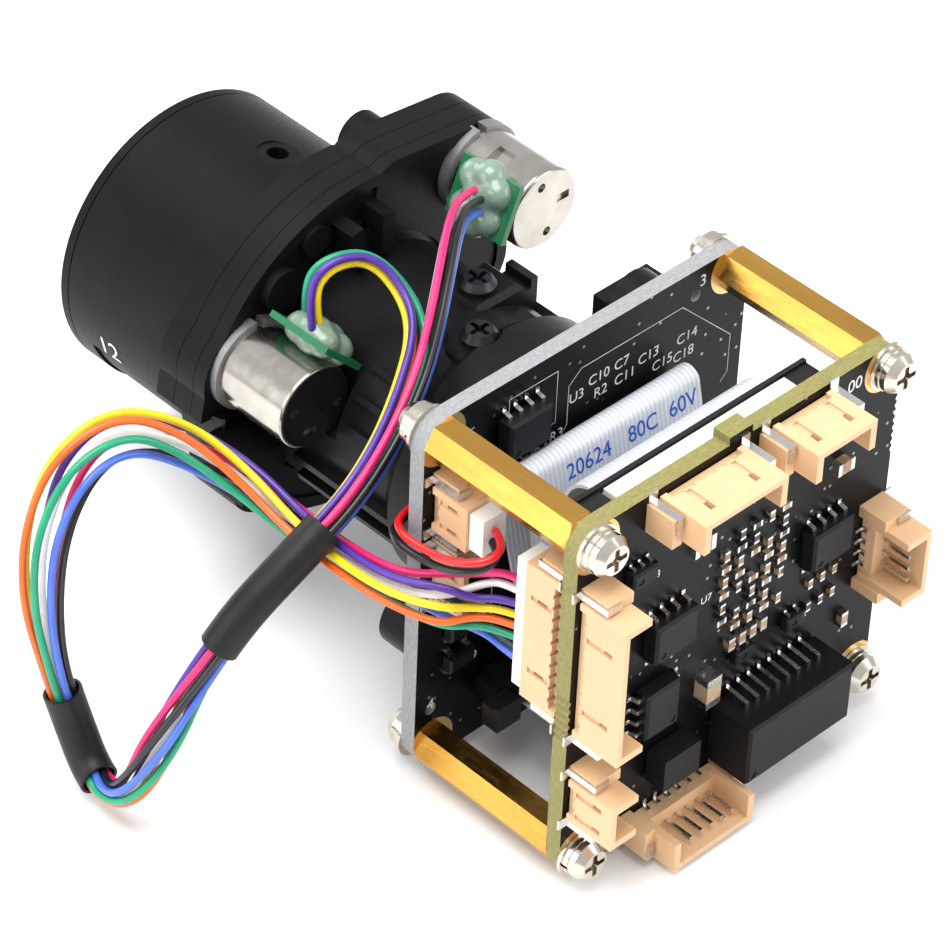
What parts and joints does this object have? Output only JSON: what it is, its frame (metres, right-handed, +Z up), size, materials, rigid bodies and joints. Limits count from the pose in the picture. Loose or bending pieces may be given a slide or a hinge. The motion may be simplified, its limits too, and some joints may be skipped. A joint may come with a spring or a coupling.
{
  "type": "motorised zoom lens camera module",
  "caption": "Two square boards on hex spacers behind a black zoom lens with a gear case, two small motors, a ribbon link and a loose looping wire harness.",
  "frame": {"origin": "on the optical axis, half way along the lens barrel in front of the gear case, where a housing grips it", "axes": "+Z up as the boards stand, -Y the way the lens looks, +X towards the side with the motor plug and the harness"},
  "size_m": [0.0619, 0.0749, 0.04],
  "materials": {
    "board_black": "black solder mask over glass-fibre board, bare edge",
    "plated_steel": "nickel-plated steel",
    "brass": "plain turned brass",
    "beige_nylon": "natural beige nylon",
    "tinned": "tin-plated contact metal",
    "white_nylon": "natural white nylon",
    "black_moulding": "fine-textured black moulding",
    "black_epoxy": "black epoxy",
    "ceramic_brown": "brown fired ceramic",
    "cream_plastic": "cream plastic",
    "ribbon_grey": "pale laminated ribbon, ribbed by its conductors",
    "glass": "coated glass",
    "steel": "ground steel",
    "grey_casting": "grey zinc casting, left as cast",
    "can_metal": "nickel-plated can",
    "acetal_black": "smooth black acetal",
    "acetal_white": "smooth natural acetal",
    "board_green": "green solder mask",
    "copper": "enamelled copper winding",
    "shrink": "black heat-shrink tube",
    "black_steel": "black-oxide steel",
    "pvc_pink": "pink wire insulation",
    "pvc_white": "white wire insulation",
    "pvc_purple": "purple wire insulation",
    "pvc_yellow": "yellow wire insulation",
    "pvc_orange": "orange wire insulation",
    "pvc_green": "green wire insulation",
    "pvc_black": "black wire insulation",
    "pvc_blue": "blue wire insulation",
    "pvc_red": "red wire insulation"
  },
  "bodies": {
    "camera_body": {"bezel_ring": "black_moulding", "board_screws": "plated_steel", "case_middle": "black_moulding", "case_rear": "black_moulding", "case_screws": "black_steel", "chip_capacitors": "ceramic_brown", "chip_leads": "tinned", "chip_packages": "black_epoxy", "chip_terminals": "tinned", "filter_coil": "copper", "filter_plug": "white_nylon", "filter_wire_black": "pvc_black", "filter_wire_red": "pvc_red", "flat_washers": "plated_steel", "focus_motor": "can_metal", "four_pin_sockets": "beige_nylon", "front_barrel": "black_moulding", "front_cell": "black_moulding", "front_glass": "glass", "guide_rods": "steel", "harness_sleeves": "shrink", "image_sensor": "black_epoxy", "lens_base": "black_moulding", "main_board": "board_black", "motor_boards": "board_green", "motor_brackets": "grey_casting", "motor_plug": "white_nylon", "network_transformer": "black_epoxy", "rear_barrel": "black_moulding", "ribbon_cable": "ribbon_grey", "ribbon_socket_front": "black_epoxy", "ribbon_socket_rear": "cream_plastic", "sensor_board": "board_black", "six_pin_sockets": "beige_nylon", "socket_clips": "tinned", "socket_contacts": "tinned", "spring_washers": "plated_steel", "standoffs": "brass", "ten_pin_sockets": "beige_nylon", "two_pin_sockets": "beige_nylon", "wire_black": "pvc_black", "wire_blue": "pvc_blue", "wire_green": "pvc_green", "wire_orange": "pvc_orange", "wire_pink": "pvc_pink", "wire_purple": "pvc_purple", "wire_white": "pvc_white", "wire_yellow": "pvc_yellow", "zoom_motor": "can_metal"},
    "zoom_ring_body": {"zoom_ring": "acetal_black"},
    "focus_ring_body": {"focus_ring": "acetal_black"},
    "zoom_idler_body": {"zoom_idler": "acetal_white"},
    "zoom_pinion_body": {"zoom_pinion": "acetal_white"},
    "focus_pinion_body": {"focus_pinion": "acetal_white"},
    "zoom_lens_body": {"zoom_carriage": "black_moulding"},
    "focus_lens_body": {"focus_carriage": "black_moulding"},
    "filter_body": {"filter_slider": "acetal_black"},
    "rear_latch_body": {"ribbon_latch_rear": "acetal_black"},
    "front_latch_body": {"ribbon_latch_front": "acetal_black"}
  },
  "joints": [
    {"name": "zoom_ring_turn", "type": "hinge", "parent": "camera_body", "child": "zoom_ring_body", "pos_m": [0, 0.011, 0], "axis": [0, 1, 0], "range_deg": [0, 90]},
    {"name": "zoom_idler_turn", "type": "hinge", "parent": "camera_body", "child": "zoom_idler_body", "pos_m": [-0.01053, 0.011, 0.01068], "axis": [0, 1, 0], "range_deg": [-473, 0]},
    {"name": "zoom_motor_turn", "type": "hinge", "parent": "camera_body", "child": "zoom_pinion_body", "pos_m": [-0.01362, 0.011, 0.01381], "axis": [0, 1, 0], "range_deg": [0, 567.5]},
    {"name": "zoom_lens_slide", "type": "slide", "parent": "camera_body", "child": "zoom_lens_body", "axis": [0, 1, 0], "range_m": [0, 0.006]},
    {"name": "focus_ring_turn", "type": "hinge", "parent": "camera_body", "child": "focus_ring_body", "pos_m": [0, 0.013, 0], "axis": [0, 1, 0], "range_deg": [0, 100]},
    {"name": "focus_motor_turn", "type": "hinge", "parent": "camera_body", "child": "focus_pinion_body", "pos_m": [0.0132, 0.013, 0.00624], "axis": [0, 1, 0], "range_deg": [-630.5, 0]},
    {"name": "focus_lens_slide", "type": "slide", "parent": "camera_body", "child": "focus_lens_body", "axis": [0, 1, 0], "range_m": [0, 0.004]},
    {"name": "filter_slide", "type": "slide", "parent": "camera_body", "child": "filter_body", "axis": [-1, 0, 0], "range_m": [0, 0.0072]},
    {"name": "rear_latch_slide", "type": "slide", "parent": "camera_body", "child": "rear_latch_body", "axis": [0, -1, 0], "range_m": [0, 0.0009]},
    {"name": "front_latch_slide", "type": "slide", "parent": "camera_body", "child": "front_latch_body", "axis": [0, 1, 0], "range_m": [0, 0.0009]}
  ],
  "couplings": [
    {"joint": "zoom_idler_turn", "follows": "zoom_ring_turn", "ratio": -5.25},
    {"joint": "zoom_motor_turn", "follows": "zoom_ring_turn", "ratio": 6.3},
    {"joint": "zoom_lens_slide", "follows": "zoom_ring_turn", "m_per_rad": 0.00381},
    {"joint": "focus_motor_turn", "follows": "focus_ring_turn", "ratio": -6.3},
    {"joint": "focus_lens_slide", "follows": "focus_ring_turn", "m_per_rad": 0.00229}
  ]
}
